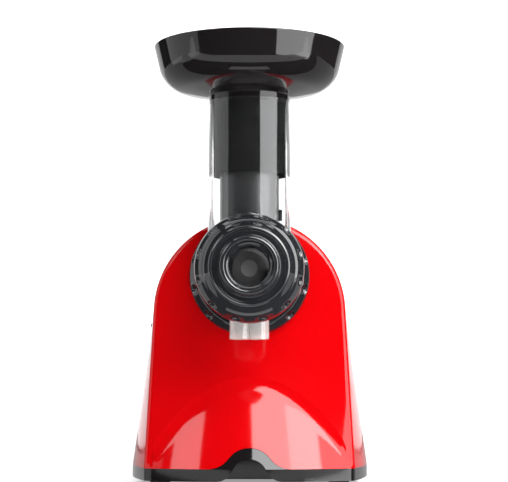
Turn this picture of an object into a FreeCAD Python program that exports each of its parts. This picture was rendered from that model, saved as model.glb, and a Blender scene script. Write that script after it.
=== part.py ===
"""Electric slow juicer with a horizontal auger: a red dome-topped motor housing on a black base, a clear drum
with a feed tube on the front of it, and a round hopper tray on the tube.

Millimetres. +Z is up, the drum points to -Y, and the origin is on the ground under the middle of the whole
length and width.
"""
import FreeCAD, Part
import math
import os

import Sketcher
from FreeCAD import Placement, Rotation, Vector

DRIVING = {
    # Feet and base
    "foot_height": 7, "foot_radius": 7.5, "foot_x": 66, "foot_front_inset": 12, "foot_rear_inset": 26,
    "foot_recess": 2, "band_height": 9, "base_floor": 2.5,
    "foot_boss_r": 5.5, "foot_boss": 9, "screw_r": 1.8, "screw_head_r": 3.4, "screw_head": 2.2,
    # Housing: three upright sections, each a dome over two sloping sides
    "hub_reach": 105, "body_depth": 230, "mid_depth": 75, "dome_z": 130.5,
    "front_dome_r": 70.8, "front_foot_half": 76.7, "mid_dome_r": 74, "mid_foot_half": 91,
    "rear_dome_r": 58, "rear_foot_half": 74, "shell_wall": 2.8, "edge_round": 4, "rear_round": 12,
    # Flared front skirt and the arch in it
    "skirt_reach": 20, "skirt_top": 77, "bell_half": 30, "bell_top": 31, "mouth_half": 24.5,
    "mouth_top": 23.3,
    "arch_depth": 25, "arch_wall": 2.5, "arch_proud": 0.6, "panel_gap": 0.25,
    # Rear wall
    "vent_count": 7, "vent_width": 3, "vent_length": 60, "vent_pitch": 8, "vent_z": 128,
    "inlet_z": 52, "inlet_width": 26, "inlet_height": 18, "inlet_depth": 16, "inlet_flange": 2.5,
    "pin_r": 1.2,
    # Switch on the left side
    "switch_z": 119.5, "switch_width": 24, "switch_height": 17, "switch_reach": 75.6, "switch_depth": 13,
    "rocker_gap": 0.5, "rocker_reach": 1.6, "bezel_wall": 2,
    # Drive axis and gears
    "drive_z": 157.2, "gear_module": 1, "pinion_teeth": 12, "wheel_teeth": 48, "gear_width": 9,
    "backlash": 0.12,
    "gear_clear": 1.2, "run_clear": 0.05, "shaft_r": 4, "idler_pin_r": 3, "case_boss_r": 4,
    "case_boss_inset": 5.5, "case_wall": 3, "case_half": 31, "case_depth": 34,
    "cover_thick": 4, "bush_wall": 2.5, "hex_flat": 14, "hex_clear": 0.3, "coupling_r": 12,
    # Motor
    "motor_half": 40, "stator_length": 46, "bell_length": 13, "bell_plate": 4, "bore_r": 21.5,
    "air_gap": 0.5,
    "bearing_r": 11, "bearing_width": 7, "coil_r": 33, "coil_length": 8, "fan_r": 30, "fan_width": 9,
    "tie_bolt_r": 2.5, "tie_bolt_at": 34, "mount_length": 18, "mount_width": 50,
    "cap_width": 22, "cap_length": 42, "cap_height": 30,
    # Drum
    "tube_offset": 43.5, "drum_bore": 26, "drum_wall": 3, "drum_front": 84, "drum_spigot": 9,
    "spigot_clear": 0.2,
    "tube_r": 29.7, "tube_wall": 1.2, "tube_top": 279, "lip_reach": 0.7, "lip_height": 1.6,
    "spout_width": 27.8, "spout_length": 22, "spout_lobe": 7.4, "spout_wall": 2, "spout_drop": 48.5,
    "spout_forward": 8,
    "socket_wall": 2.4, "socket_flange": 7, "seal_width": 5,
    # Lock ring, front cap and nozzle
    "ring_r": 44.3, "ring_width": 13, "ring_gap": 0.4, "ring_slope": 5, "dent_count": 12, "dent_r": 6.5,
    "dent_depth": 3,
    "cap_r": 38.4, "cap_back": 74.5, "cap_rim": 6, "cap_slope": 10, "cap_shoulder_r": 33, "cap_face_r": 26,
    "cap_face": 97.5, "nozzle_r": 20.6, "nozzle_bore": 13.6, "nozzle_seat": 17.5,
    "turn_clear": 0.25,
    # Auger and strainer
    "auger_core": 12, "auger_r": 23, "auger_pitch": 22, "flight_root": 5, "flight_tip": 2.4,
    "auger_tip_r": 5.8,
    "auger_nose": 78, "sieve_wall": 1.5, "sieve_length": 52, "sieve_slots": 9, "slot_width": 1.2,
    # Tray and pusher
    "tray_r": 68.7, "tray_depth": 38.7, "tray_wall": 2.4, "tray_corner": 12, "tray_draft": 7,
    "funnel_rise": 10,
    "neck_r": 29, "neck_height": 2, "sleeve_clear": 0.3, "sleeve_wall": 2, "sleeve_length": 53,
    "pusher_r": 21.4, "pusher_end": 187, "pusher_wall": 2.5, "pusher_head_r": 31, "pusher_head": 8,
    "seat_gap": 0.4,
    "lug_z": 197.7, "lug_height": 8, "lug_reach": 2, "lug_width": 4,
}

doc = FreeCAD.newDocument("slow_juicer")
sheet = doc.addObject("Spreadsheet::Sheet", "Sizes")


class Size:
    """A length with its value and the spreadsheet expression that gives it."""

    def __init__(self, text, value):
        self.text = text
        self.value = value

    def __add__(self, other):
        other = as_size(other)
        return Size(f"({self.text} + {other.text})", self.value + other.value)

    def __sub__(self, other):
        other = as_size(other)
        return Size(f"({self.text} - {other.text})", self.value - other.value)

    def __mul__(self, other):
        other = as_size(other)
        return Size(f"({self.text} * {other.text})", self.value * other.value)

    def __truediv__(self, other):
        other = as_size(other)
        return Size(f"({self.text} / {other.text})", self.value / other.value)

    def __neg__(self):
        return Size(f"(-{self.text})", -self.value)

    def __radd__(self, other):
        return as_size(other) + self

    def __rsub__(self, other):
        return as_size(other) - self

    __rmul__ = __mul__


def as_size(number):
    return number if isinstance(number, Size) else Size(repr(float(number)), float(number))


class Dimensions:
    """The driving dimensions by name."""


dim = Dimensions()
for row, (alias, number) in enumerate(DRIVING.items(), 1):
    sheet.set(f"A{row}", alias)
    sheet.set(f"B{row}", str(number))
    sheet.setAlias(f"B{row}", alias)
    setattr(dim, alias, Size(f"Sizes.{alias}", float(number)))
doc.recompute()

# Helpers that make one document object each, bound to the sheet
ALONG_Y = Rotation(Vector(1, 0, 0), -90)
ALONG_X = Rotation(Vector(0, 1, 0), 90)
ZERO = as_size(0)


def bind(item, **sizes):
    for name, size in sizes.items():
        item.setExpression(name, as_size(size).text)


def place(item, x, y, z, turn=None):
    if turn is not None:
        item.Placement = Placement(Vector(), turn)
    for axis, size in zip("xyz", (x, y, z)):
        item.setExpression(f"Placement.Base.{axis}", as_size(size).text)
    return item


def rod_y(name, radius, y0, y1, x=0, z=0):
    rod = doc.addObject("Part::Cylinder", name)
    bind(rod, Radius=radius, Height=as_size(y1) - y0)
    return place(rod, x, y0, z, ALONG_Y)


def post(name, radius, z0, z1, x=0, y=0):
    rod = doc.addObject("Part::Cylinder", name)
    bind(rod, Radius=radius, Height=as_size(z1) - z0)
    return place(rod, x, y, z0)


def block(name, x0, x1, y0, y1, z0, z1):
    box = doc.addObject("Part::Box", name)
    bind(box, Length=as_size(x1) - x0, Width=as_size(y1) - y0, Height=as_size(z1) - z0)
    return place(box, x0, y0, z0)


def union(name, *items):
    joined = doc.addObject("Part::MultiFuse", name)
    joined.Shapes = list(items)
    return joined


def minus(name, base, *tools):
    cut = doc.addObject("Part::Cut", name)
    cut.Base = base
    cut.Tool = tools[0] if len(tools) == 1 else union(name + "_tools", *tools)
    return cut


def overlap(name, base, tool):
    common = doc.addObject("Part::Common", name)
    common.Base = base
    common.Tool = tool
    return common


def ready_made(name, shape):
    feature = doc.addObject("Part::Feature", name)
    feature.Shape = shape
    return feature


def origin_plane(body, role):
    return next(f for f in body.Origin.OriginFeatures if f.Role == role)


def new_sketch(body, name, role, offset=ZERO):
    sketch = body.newObject("Sketcher::SketchObject", name)
    sketch.AttachmentSupport = [(origin_plane(body, role), "")]
    sketch.MapMode = "FlatFace"
    sketch.setExpression("AttachmentOffset.Base.z", as_size(offset).text)
    return sketch


def fix_point(sketch, edge, end, x, y):
    """Ties one end of a sketch edge to its place from the sketch's origin."""
    for kind, size in (("DistanceX", as_size(x)), ("DistanceY", as_size(y))):
        number = sketch.addConstraint(Sketcher.Constraint(kind, -1, 1, edge, end, size.value))
        sketch.setExpression(f"Constraints[{number}]", size.text)


def polygon(sketch, corners):
    corners = [(as_size(x), as_size(y)) for x, y in corners]
    points = [Vector(x.value, y.value, 0) for x, y in corners]
    for start, end in zip(points, points[1:] + points[:1]):
        sketch.addGeometry(Part.LineSegment(start, end))
    for edge, (x, y) in enumerate(corners):
        sketch.addConstraint(Sketcher.Constraint("Coincident", edge, 2, (edge + 1) % len(corners), 1))
        fix_point(sketch, edge, 1, x, y)


def turned(name, role, axis, corners, at):
    """A solid of revolution. Its corners are (along the sketch's x, along its y)."""
    body = doc.addObject("PartDesign::Body", name)
    sketch = new_sketch(body, name + "_profile", role)
    polygon(sketch, corners)
    revolution = body.newObject("PartDesign::Revolution", name + "_turn")
    revolution.Profile = sketch
    revolution.ReferenceAxis = (sketch, [axis])
    revolution.Angle = 360
    place(body, *at)
    return body


def turned_y(name, corners, z):
    """Turned about an axis along Y at height z; corners are (y, radius)."""
    return turned(name, "YZ_Plane", "H_Axis", corners, (ZERO, ZERO, z))


def turned_z(name, corners, y):
    """Turned about an upright axis at depth y; corners are (radius, z)."""
    return turned(name, "XZ_Plane", "V_Axis", corners, (ZERO, y, ZERO))


def rounded(name, item, radius, wanted):
    """Rounds the edges of an item that wanted(edge) picks."""
    doc.recompute()
    fillet = doc.addObject("Part::Fillet", name)
    fillet.Base = item
    picked = [i for i, edge in enumerate(item.Shape.Edges, 1) if wanted(edge)]
    fillet.Edges = [(i, radius.value, radius.value) for i in picked]
    return fillet


def spread(edge):
    """Lowest and highest corner of an edge's box."""
    box = edge.BoundBox
    return Vector(box.XMin, box.YMin, box.ZMin), Vector(box.XMax, box.YMax, box.ZMax)


NEAR = 0.02


def ring_at(radius, along, place_on_axis):
    """Picks full circles of one radius at one place along an axis."""
    def wanted(edge):
        if not isinstance(edge.Curve, Part.Circle):
            return False
        same_radius = abs(edge.Curve.Radius - radius.value) < NEAR
        return same_radius and abs(getattr(edge.Curve.Center, along) - place_on_axis.value) < NEAR
    return wanted


# Levels and depths that the pieces share
front_y = (dim.tube_offset + dim.tray_r - dim.body_depth) / 2
rear_y = front_y + dim.body_depth
rim_z = dim.foot_height + dim.band_height
floor_z = dim.foot_height + dim.base_floor
tube_y = front_y - dim.tube_offset
inner_front_y = front_y + dim.shell_wall

# Housing: a shell lofted through three upright sections, with a flared skirt on its front


def dome_section(body, name, y, dome_r, foot_half, foot_z):
    """A dome arc over two sloping sides, closed along the bottom, on an upright plane at depth y."""
    sketch = new_sketch(body, name, "XZ_Plane", -as_size(y))
    centre = Vector(0, dim.dome_z.value, 0)
    foot = Vector(foot_half.value, foot_z.value, 0)
    reach = foot - centre
    lean = math.atan2(reach.y, reach.x) + math.acos(dome_r.value / reach.Length)
    touch = centre + Vector(math.cos(lean), math.sin(lean), 0) * dome_r.value
    left_touch, left_foot = Vector(-touch.x, touch.y, 0), Vector(-foot.x, foot.y, 0)
    circle = Part.Circle(centre, Vector(0, 0, 1), dome_r.value)
    sketch.addGeometry(Part.ArcOfCircle(circle, lean, math.pi - lean))
    sketch.addGeometry(Part.LineSegment(left_touch, left_foot))
    sketch.addGeometry(Part.LineSegment(left_foot, foot))
    sketch.addGeometry(Part.LineSegment(foot, touch))
    sketch.addConstraint(Sketcher.Constraint("Tangent", 0, 2, 1, 1))
    sketch.addConstraint(Sketcher.Constraint("Coincident", 1, 2, 2, 1))
    sketch.addConstraint(Sketcher.Constraint("Coincident", 2, 2, 3, 1))
    sketch.addConstraint(Sketcher.Constraint("Tangent", 3, 2, 0, 1))
    number = sketch.addConstraint(Sketcher.Constraint("Radius", 0, dome_r.value))
    sketch.setExpression(f"Constraints[{number}]", dome_r.text)
    fix_point(sketch, 0, 3, 0, dim.dome_z)
    fix_point(sketch, 2, 1, -foot_half, foot_z)
    fix_point(sketch, 2, 2, foot_half, foot_z)
    return sketch


def dome_loft(name, inset, front, rear, foot_z):
    body = doc.addObject("PartDesign::Body", name)
    stations = [
        ("front", front, dim.front_dome_r, dim.front_foot_half),
        ("mid", front_y + dim.mid_depth, dim.mid_dome_r, dim.mid_foot_half),
        ("rear", rear, dim.rear_dome_r, dim.rear_foot_half),
    ]
    sections = [
        dome_section(body, f"{name}_{station}", y, radius - inset, half - inset, foot_z)
        for station, y, radius, half in stations
    ]
    loft = body.newObject("PartDesign::AdditiveLoft", name + "_loft")
    loft.Profile = sections[0]
    loft.Sections = sections[1:]
    return body


def skirt(name, inset, back, foot_z):
    """The flared front skirt: a cone about an upright axis, kept to the width of the front section."""
    chord = dim.front_foot_half
    base_r = (chord * chord + dim.skirt_reach * dim.skirt_reach) / (dim.skirt_reach * 2)
    flare = dim.skirt_reach / (dim.skirt_top - rim_z)
    drop = rim_z - foot_z
    cone = doc.addObject("Part::Cone", name + "_cone")
    bind(cone, Radius1=base_r - inset + flare * drop, Radius2=base_r - inset - dim.skirt_reach,
         Height=dim.skirt_top - foot_z)
    place(cone, ZERO, front_y - dim.skirt_reach + base_r, foot_z)
    slab = doc.addObject("PartDesign::Body", name + "_slab")
    outline = dome_section(slab, name + "_outline", back, dim.front_dome_r - inset,
                           dim.front_foot_half - inset, foot_z)
    pad = slab.newObject("PartDesign::Pad", name + "_pad")
    pad.Profile = outline
    bind(pad, Length=back - front_y + dim.skirt_reach + 2)
    return overlap(name, cone, slab)


def bell_prism(name, half, top, foot_z, y0, y1):
    """A bell-shaped arch: one arc over the top that swings out into the foot on both sides."""
    rise = top - foot_z
    bend = (half * half / 4 + rise * rise / 4) / rise
    turn = math.asin((half.value / 2) / bend.value)
    body = doc.addObject("PartDesign::Body", name)
    sketch = new_sketch(body, name + "_outline", "XZ_Plane", -as_size(y1))

    def arc(x, z, start, end):
        circle = Part.Circle(Vector(x, z, 0), Vector(0, 0, 1), bend.value)
        return sketch.addGeometry(Part.ArcOfCircle(circle, start, end))

    down, up = -math.pi / 2, math.pi / 2
    arc(half.value, foot_z.value + bend.value, down - turn, down)
    arc(0, top.value - bend.value, up - turn, up + turn)
    arc(-half.value, foot_z.value + bend.value, down, down + turn)
    sketch.addGeometry(Part.LineSegment(Vector(-half.value, foot_z.value, 0),
                                        Vector(half.value, foot_z.value, 0)))
    sketch.addConstraint(Sketcher.Constraint("Tangent", 0, 1, 1, 1))
    sketch.addConstraint(Sketcher.Constraint("Tangent", 1, 2, 2, 2))
    sketch.addConstraint(Sketcher.Constraint("Coincident", 2, 1, 3, 1))
    sketch.addConstraint(Sketcher.Constraint("Coincident", 3, 2, 0, 2))
    for edge in (0, 1):
        number = sketch.addConstraint(Sketcher.Constraint("Radius", edge, bend.value))
        sketch.setExpression(f"Constraints[{number}]", bend.text)
    fix_point(sketch, 1, 3, 0, top - bend)
    fix_point(sketch, 3, 1, -half, foot_z)
    fix_point(sketch, 3, 2, half, foot_z)
    pad = body.newObject("PartDesign::Pad", name + "_pad")
    pad.Profile = sketch
    bind(pad, Length=as_size(y1) - y0)
    return body


skirt_front_y = front_y - dim.skirt_reach * 1.3
housing_outer = union("housing_outer", dome_loft("dome", ZERO, front_y, rear_y, rim_z),
                      skirt("front_skirt", ZERO, inner_front_y, rim_z))


def on_front_edge(edge):
    """Edges round the front face's outline, above the skirt's corners."""
    low, high = spread(edge)
    flat = high.y - low.y < NEAR and abs(low.y - front_y.value) < NEAR
    outline = low.x > 0 and high.z > dim.skirt_top.value or high.x < 0 and high.z > dim.skirt_top.value
    over_top = high.z > dim.dome_z.value + 1
    return flat and (outline or over_top)


housing_soft = rounded("housing_soft", housing_outer, dim.edge_round, on_front_edge)


def on_rear_edge(edge):
    low, high = spread(edge)
    return high.y - low.y < NEAR and abs(low.y - rear_y.value) < NEAR and high.z > rim_z.value + 1


housing_body = rounded("housing_body", housing_soft, dim.rear_round, on_rear_edge)
below_rim = rim_z - 1
cavity = union("cavity", dome_loft("dome_cavity", dim.shell_wall, inner_front_y, rear_y - dim.shell_wall,
                                   below_rim),
               skirt("skirt_cavity", dim.shell_wall, inner_front_y + 1, below_rim))
socket_r = dim.drum_bore + dim.drum_wall + dim.spigot_clear + dim.socket_wall
socket_hole = rod_y("socket_hole", socket_r + dim.panel_gap, front_y - 1, inner_front_y + 1, 0, dim.drive_z)
arch_slot = bell_prism("arch_slot", dim.bell_half + dim.panel_gap, dim.bell_top + dim.panel_gap, rim_z,
                       skirt_front_y, front_y + dim.arch_depth)
switch_hole = block("switch_hole", -dim.switch_reach - 2, -dim.switch_reach + dim.switch_depth,
                    front_y + dim.mid_depth - dim.switch_width / 2,
                    front_y + dim.mid_depth + dim.switch_width / 2,
                    dim.switch_z - dim.switch_height / 2, dim.switch_z + dim.switch_height / 2)
inlet_hole = block("inlet_hole", -dim.inlet_width / 2, dim.inlet_width / 2, rear_y - dim.shell_wall - 1,
                   rear_y + 1,
                   dim.inlet_z - dim.inlet_height / 2, dim.inlet_z + dim.inlet_height / 2)
vents = []
for number in range(int(dim.vent_count.value)):
    vent_z = dim.vent_z + dim.vent_pitch * (number - (dim.vent_count - 1) / 2)
    vents.append(block(f"vent_{number}", -dim.vent_length / 2, dim.vent_length / 2, rear_y - dim.rear_round,
                       rear_y + 1, vent_z - dim.vent_width / 2, vent_z + dim.vent_width / 2))
housing_shell = minus("housing_shell", housing_body, cavity, socket_hole, arch_slot, switch_hole,
                      inlet_hole, *vents)

# Base: a black tray under the housing, with the same outline, and an arched finger hold in its front
doc.recompute()


SLICE_Z = rim_z.value + NEAR


def level_slab(item, z, height):
    """A flat slab with an item's outline just above the rim."""
    outline = max(item.Shape.slice(Vector(0, 0, 1), SLICE_Z), key=lambda wire: wire.BoundBox.DiagonalLength)
    face = Part.Face(outline)
    face.translate(Vector(0, 0, z - SLICE_Z))
    return face.extrude(Vector(0, 0, height))


band = ready_made("band", level_slab(housing_body, dim.foot_height.value, dim.band_height.value))
well = ready_made("well", level_slab(cavity, floor_z.value, dim.band_height.value))
arch_skin = skirt("arch_skin", -dim.arch_proud, front_y + dim.arch_depth, dim.foot_height)
arch_block = overlap("arch_block", bell_prism("arch_bell", dim.bell_half, dim.bell_top, rim_z,
                                              skirt_front_y,
                                              front_y + dim.arch_depth - dim.panel_gap), arch_skin)
arch_foot = overlap("arch_foot", band, block("arch_foot_block", -dim.bell_half, dim.bell_half,
                                             skirt_front_y,
                                             front_y + dim.arch_depth - dim.panel_gap, dim.foot_height,
                                             rim_z))
mouth = bell_prism("mouth", dim.mouth_half, dim.mouth_top, dim.foot_height, skirt_front_y,
                   front_y + dim.arch_depth - dim.arch_wall)
foot_spots = [(side * dim.foot_x, y) for y in (front_y + dim.foot_front_inset, rear_y - dim.foot_rear_inset)
              for side in (-1, 1)]
foot_seats = [post(f"foot_seat_{i}", dim.foot_radius + dim.panel_gap, dim.foot_height - 1,
                   dim.foot_height + dim.foot_recess, x, y) for i, (x, y) in enumerate(foot_spots)]
foot_bosses = [post(f"foot_boss_{i}", dim.foot_boss_r, dim.foot_height, floor_z + dim.foot_boss, x, y)
               for i, (x, y) in enumerate(foot_spots)]
foot_holes = [post(f"foot_hole_{i}", dim.screw_r, dim.foot_height, floor_z + dim.foot_boss + 1, x, y)
              for i, (x, y) in enumerate(foot_spots)]
base_whole = union("base_whole", minus("base_open", band, well), arch_block, arch_foot, *foot_bosses)
base_tray = minus("base_tray", base_whole, mouth, *foot_seats, *foot_holes)


def foot(number, x, y):
    pad = post(f"foot_pad_{number}", dim.foot_radius, dim.foot_height / 2,
               dim.foot_height + dim.foot_recess, x, y)
    toe = post(f"foot_toe_{number}", dim.foot_radius * 0.8, ZERO, dim.foot_height / 2 + 1, x, y)
    head_room = post(f"foot_head_room_{number}", dim.screw_head_r, -dim.foot_height, dim.foot_height / 2,
                     x, y)
    stem_hole = post(f"foot_stem_hole_{number}", dim.screw_r, ZERO, floor_z, x, y)
    return minus(f"foot_{number}", union(f"foot_whole_{number}", pad, toe), head_room, stem_hole)


def foot_screw(number, x, y):
    head_z = dim.foot_height / 2
    stem = post(f"foot_stem_{number}", dim.screw_r, head_z, floor_z + dim.foot_boss - 1, x, y)
    head = post(f"foot_head_{number}", dim.screw_head_r, head_z - dim.screw_head, head_z, x, y)
    return union(f"foot_screw_{number}", stem, head)


rubber_feet = union("rubber_feet", *[foot(i, x, y) for i, (x, y) in enumerate(foot_spots)])
foot_screws = union("foot_screws", *[foot_screw(i, x, y) for i, (x, y) in enumerate(foot_spots)])

# Docking socket: the collar behind the housing's front wall that takes the drum's spigot
socket_bore = socket_r - dim.socket_wall
case_front_y = inner_front_y + dim.socket_flange
docking_socket = turned_y("docking_socket", [
    (front_y, socket_bore), (front_y, socket_r), (inner_front_y, socket_r),
    (inner_front_y, socket_r + dim.socket_flange), (case_front_y, socket_r + dim.socket_flange),
    (case_front_y, socket_bore)], dim.drive_z)

# Gearbox: a case that bolts to the socket, and two reductions from the motor pinion to the output wheel
centre_distance = dim.gear_module * (dim.pinion_teeth + dim.wheel_teeth) / 2
idler_z = dim.drive_z - centre_distance
motor_z = idler_z - centre_distance
case_back_y = case_front_y + dim.case_depth
cover_back_y = case_back_y + dim.cover_thick
case_top = dim.drive_z + dim.gear_module * (dim.wheel_teeth / 2 + 1) + dim.gear_clear + dim.case_wall
case_bottom = motor_z - dim.bearing_r - dim.case_wall
output_y0 = case_front_y + dim.case_wall + dim.gear_clear
output_y1 = output_y0 + dim.gear_width
idler_y0 = output_y1 + dim.gear_clear * 2
idler_y1 = idler_y0 + dim.gear_width
bush_r = dim.coupling_r + dim.run_clear + dim.bush_wall
boss_x = dim.case_half - dim.case_boss_inset
case_spots = [(side * boss_x, z) for side in (-1, 1)
              for z in (case_bottom + dim.case_boss_inset, case_top - dim.case_boss_inset)]
case_bosses = [rod_y(f"case_boss_{i}", dim.case_boss_r, case_front_y, case_back_y, x, z)
               for i, (x, z) in enumerate(case_spots)]
screw_deep_y = case_back_y - dim.case_depth / 2
case_screw_holes = [rod_y(f"case_screw_hole_{i}", dim.screw_r, screw_deep_y, cover_back_y + 1, x, z)
                    for i, (x, z) in enumerate(case_spots)]
case_shell = minus(
    "case_shell",
    block("case_block", -dim.case_half, dim.case_half, case_front_y, case_back_y, case_bottom, case_top),
    block("case_well", dim.case_wall - dim.case_half, dim.case_half - dim.case_wall,
          case_front_y + dim.case_wall,
          case_back_y + 1, case_bottom + dim.case_wall, case_top - dim.case_wall))
gearbox_case = minus(
    "gearbox_case", union("case_whole", case_shell, *case_bosses),
    rod_y("case_bore", bush_r, case_front_y - 1, case_front_y + dim.case_wall + 1, 0, dim.drive_z),
    rod_y("case_pin_hole", dim.idler_pin_r, case_front_y - 1, case_front_y + dim.case_wall + 1, 0, idler_z),
    *case_screw_holes)
gearbox_cover = minus(
    "gearbox_cover",
    block("cover_block", -dim.case_half, dim.case_half, case_back_y, cover_back_y, case_bottom, case_top),
    rod_y("cover_pinion_hole", dim.bearing_r, case_back_y - 1, cover_back_y + 1, 0, motor_z),
    rod_y("cover_pin_hole", dim.idler_pin_r, case_back_y - 1, cover_back_y + 1, 0, idler_z),
    rod_y("cover_output_hole", dim.shaft_r + dim.run_clear, case_back_y - 1, cover_back_y + 1, 0,
          dim.drive_z),
    *[rod_y(f"cover_sink_{i}", dim.screw_head_r, cover_back_y - dim.screw_head, cover_back_y + 1, x, z)
      for i, (x, z) in enumerate(case_spots)],
    *case_screw_holes)
cover_screws = union("cover_screws", *[
    union(f"cover_screw_{i}",
          rod_y(f"cover_stem_{i}", dim.screw_r, screw_deep_y + 1, cover_back_y - dim.screw_head, x, z),
          rod_y(f"cover_head_{i}", dim.screw_head_r, cover_back_y - dim.screw_head, cover_back_y, x, z))
    for i, (x, z) in enumerate(case_spots)])
output_bush = minus("output_bush",
                    rod_y("bush_body", bush_r, case_front_y, case_front_y + dim.case_wall, 0, dim.drive_z),
                    rod_y("bush_bore", dim.coupling_r + dim.run_clear, case_front_y - 1, case_back_y, 0,
                          dim.drive_z))
idler_pin = rod_y("idler_pin", dim.idler_pin_r, case_front_y, cover_back_y, 0, idler_z)

PRESSURE = math.radians(20)
PINION_ADDENDUM = 1.0
WHEEL_ADDENDUM = 0.75
DEDENDUM = 1.25


def gear_outline(teeth, addendum, first_tooth):
    """One closed wire of involute teeth. first_tooth is the angle of a tooth's middle."""
    module = dim.gear_module.value
    pitch_r = module * teeth / 2
    base_r = pitch_r * math.cos(PRESSURE)
    tip_r = pitch_r + addendum * module
    root_r = pitch_r - DEDENDUM * module
    start_r = max(base_r, root_r + 0.05 * module)

    def involute(radius):
        spread_angle = math.acos(min(1.0, base_r / radius))
        return math.tan(spread_angle) - spread_angle

    half = (math.pi * module / 2 - dim.backlash.value) / (2 * pitch_r) + involute(pitch_r)

    def point(radius, angle):
        return Vector(radius * math.cos(angle), 0, radius * math.sin(angle))

    edges = []
    step = 2 * math.pi / teeth
    middle_r = (start_r + tip_r) / 2
    for tooth in range(teeth):
        axis = first_tooth + tooth * step
        low, mid, high = (half - involute(r) for r in (start_r, middle_r, tip_r))
        rise = [point(root_r, axis - low), point(start_r, axis - low), point(middle_r, axis - mid),
                point(tip_r, axis - high)]
        fall = [point(tip_r, axis + high), point(middle_r, axis + mid), point(start_r, axis + low),
                point(root_r, axis + low)]
        gap_end = point(root_r, axis + step - low)
        edges += [Part.LineSegment(rise[0], rise[1]).toShape(), Part.Arc(*rise[1:]).toShape(),
                  Part.Arc(rise[3], point(tip_r, axis), fall[0]).toShape(), Part.Arc(*fall[:3]).toShape(),
                  Part.LineSegment(fall[2], fall[3]).toShape(),
                  Part.Arc(fall[3], point(root_r, axis + step / 2), gap_end).toShape()]
    return Part.Wire(edges)


def gear(name, teeth, addendum, first_tooth, y0, y1, z):
    outline = gear_outline(int(teeth.value), addendum, first_tooth)
    blank = Part.Face(outline).extrude(Vector(0, y1.value - y0.value, 0))
    wheel = ready_made(name, blank)
    return place(wheel, ZERO, y0, z)


UP, DOWN = math.pi / 2, -math.pi / 2
HALF_TOOTH = math.pi / dim.wheel_teeth.value
output_wheel = gear("output_teeth", dim.wheel_teeth, WHEEL_ADDENDUM, DOWN + HALF_TOOTH, output_y0,
                    output_y1,
                    dim.drive_z)
output_gear = union("output_gear", output_wheel,
                    rod_y("output_tail", dim.shaft_r, output_y0, cover_back_y, 0, dim.drive_z))
idler_gear = minus("idler_gear",
                   union("idler_blank",
                         gear("idler_teeth", dim.wheel_teeth, WHEEL_ADDENDUM, DOWN + HALF_TOOTH, idler_y0,
                              idler_y1,
                              idler_z),
                         gear("idler_pinion", dim.pinion_teeth, PINION_ADDENDUM, UP, output_y0,
                              idler_y0 + 1,
                              idler_z)),
                   rod_y("idler_bore", dim.idler_pin_r + dim.run_clear, case_front_y, cover_back_y, 0,
                         idler_z))


def hexagon(name, flat, y0, y1, z):
    prism = doc.addObject("Part::Prism", name)
    prism.Polygon = 6
    bind(prism, Circumradius=flat / math.sqrt(3), Height=as_size(y1) - y0)
    return place(prism, ZERO, y0, z, ALONG_Y)


coupling_y0 = front_y
drive_coupling = minus("drive_coupling",
                       rod_y("coupling_body", dim.coupling_r, coupling_y0, output_y0, 0, dim.drive_z),
                       hexagon("coupling_socket", dim.hex_flat + dim.hex_clear * 2, coupling_y0 - 1,
                               output_y0 - dim.case_wall, dim.drive_z))

# Motor: square laminations between two end bells, a wound stator, a rotor on ball bearings and a fan
stator_y0 = cover_back_y + dim.bell_length
stator_y1 = stator_y0 + dim.stator_length
bell_rear_y = stator_y1 + dim.bell_length
bolt_spots = [(sx * dim.tie_bolt_at, motor_z + sz * dim.tie_bolt_at) for sx in (-1, 1) for sz in (-1, 1)]


def motor_square(name, y0, y1):
    square = block(name, -dim.motor_half, dim.motor_half, y0, y1, motor_z - dim.motor_half,
                   motor_z + dim.motor_half)
    holes = [rod_y(f"{name}_hole_{i}", dim.tie_bolt_r, y0 - 1, y1 + 1, x, z) for i,
             (x, z) in enumerate(bolt_spots)]
    return square, holes


def end_bell(name, y0, y1, plate_front):
    """A square cup over the coil heads, with a seat for its ball bearing in the plate."""
    square, holes = motor_square(name + "_square", y0, y1)
    well_y = (y0 + dim.bell_plate, y1 + 1) if plate_front else (y0 - 1, y1 - dim.bell_plate)
    seat = (y0 - 1, y1 + 1)
    boss_y = (y0, y0 + dim.bearing_width) if plate_front else (y1 - dim.bearing_width, y1)
    cup = minus(name + "_cup", square, rod_y(name + "_well", dim.coil_r + 1, *well_y, 0, motor_z), *holes)
    boss = rod_y(name + "_boss", dim.bearing_r + dim.case_wall, *boss_y, 0, motor_z)
    return minus(name, union(name + "_whole", cup, boss),
                 rod_y(name + "_seat", dim.bearing_r, *seat, 0, motor_z))


front_bell = end_bell("front_bell", cover_back_y, stator_y0, True)
rear_bell = end_bell("rear_bell", stator_y1, bell_rear_y, False)
core_square, core_holes = motor_square("core_square", stator_y0, stator_y1)
stator_core = minus("stator_core", core_square,
                    rod_y("core_bore", dim.bore_r, stator_y0 - 1, stator_y1 + 1, 0, motor_z), *core_holes)


def coil_head(name, y0, y1):
    return minus(name, rod_y(name + "_outer", dim.coil_r, y0, y1, 0, motor_z),
                 rod_y(name + "_inner", dim.bore_r + 1, y0 - 1, y1 + 1, 0, motor_z))


stator_windings = union("stator_windings", coil_head("front_coil", stator_y0 - dim.coil_length, stator_y0),
                        coil_head("rear_coil", stator_y1, stator_y1 + dim.coil_length))
fan_y0 = bell_rear_y + dim.gear_clear * 2
fan_y1 = fan_y0 + dim.fan_width
rotor_core = minus("rotor_core", rod_y("rotor_body", dim.bore_r - dim.air_gap, stator_y0, stator_y1, 0,
                                       motor_z),
                   rod_y("rotor_hole", dim.shaft_r, stator_y0 - 1, stator_y1 + 1, 0, motor_z))
pinion_shaft = union("pinion_shaft", rod_y("motor_shaft", dim.shaft_r, idler_y0, fan_y1, 0, motor_z),
                     gear("motor_pinion", dim.pinion_teeth, PINION_ADDENDUM, UP, idler_y0, idler_y1,
                          motor_z))


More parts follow.
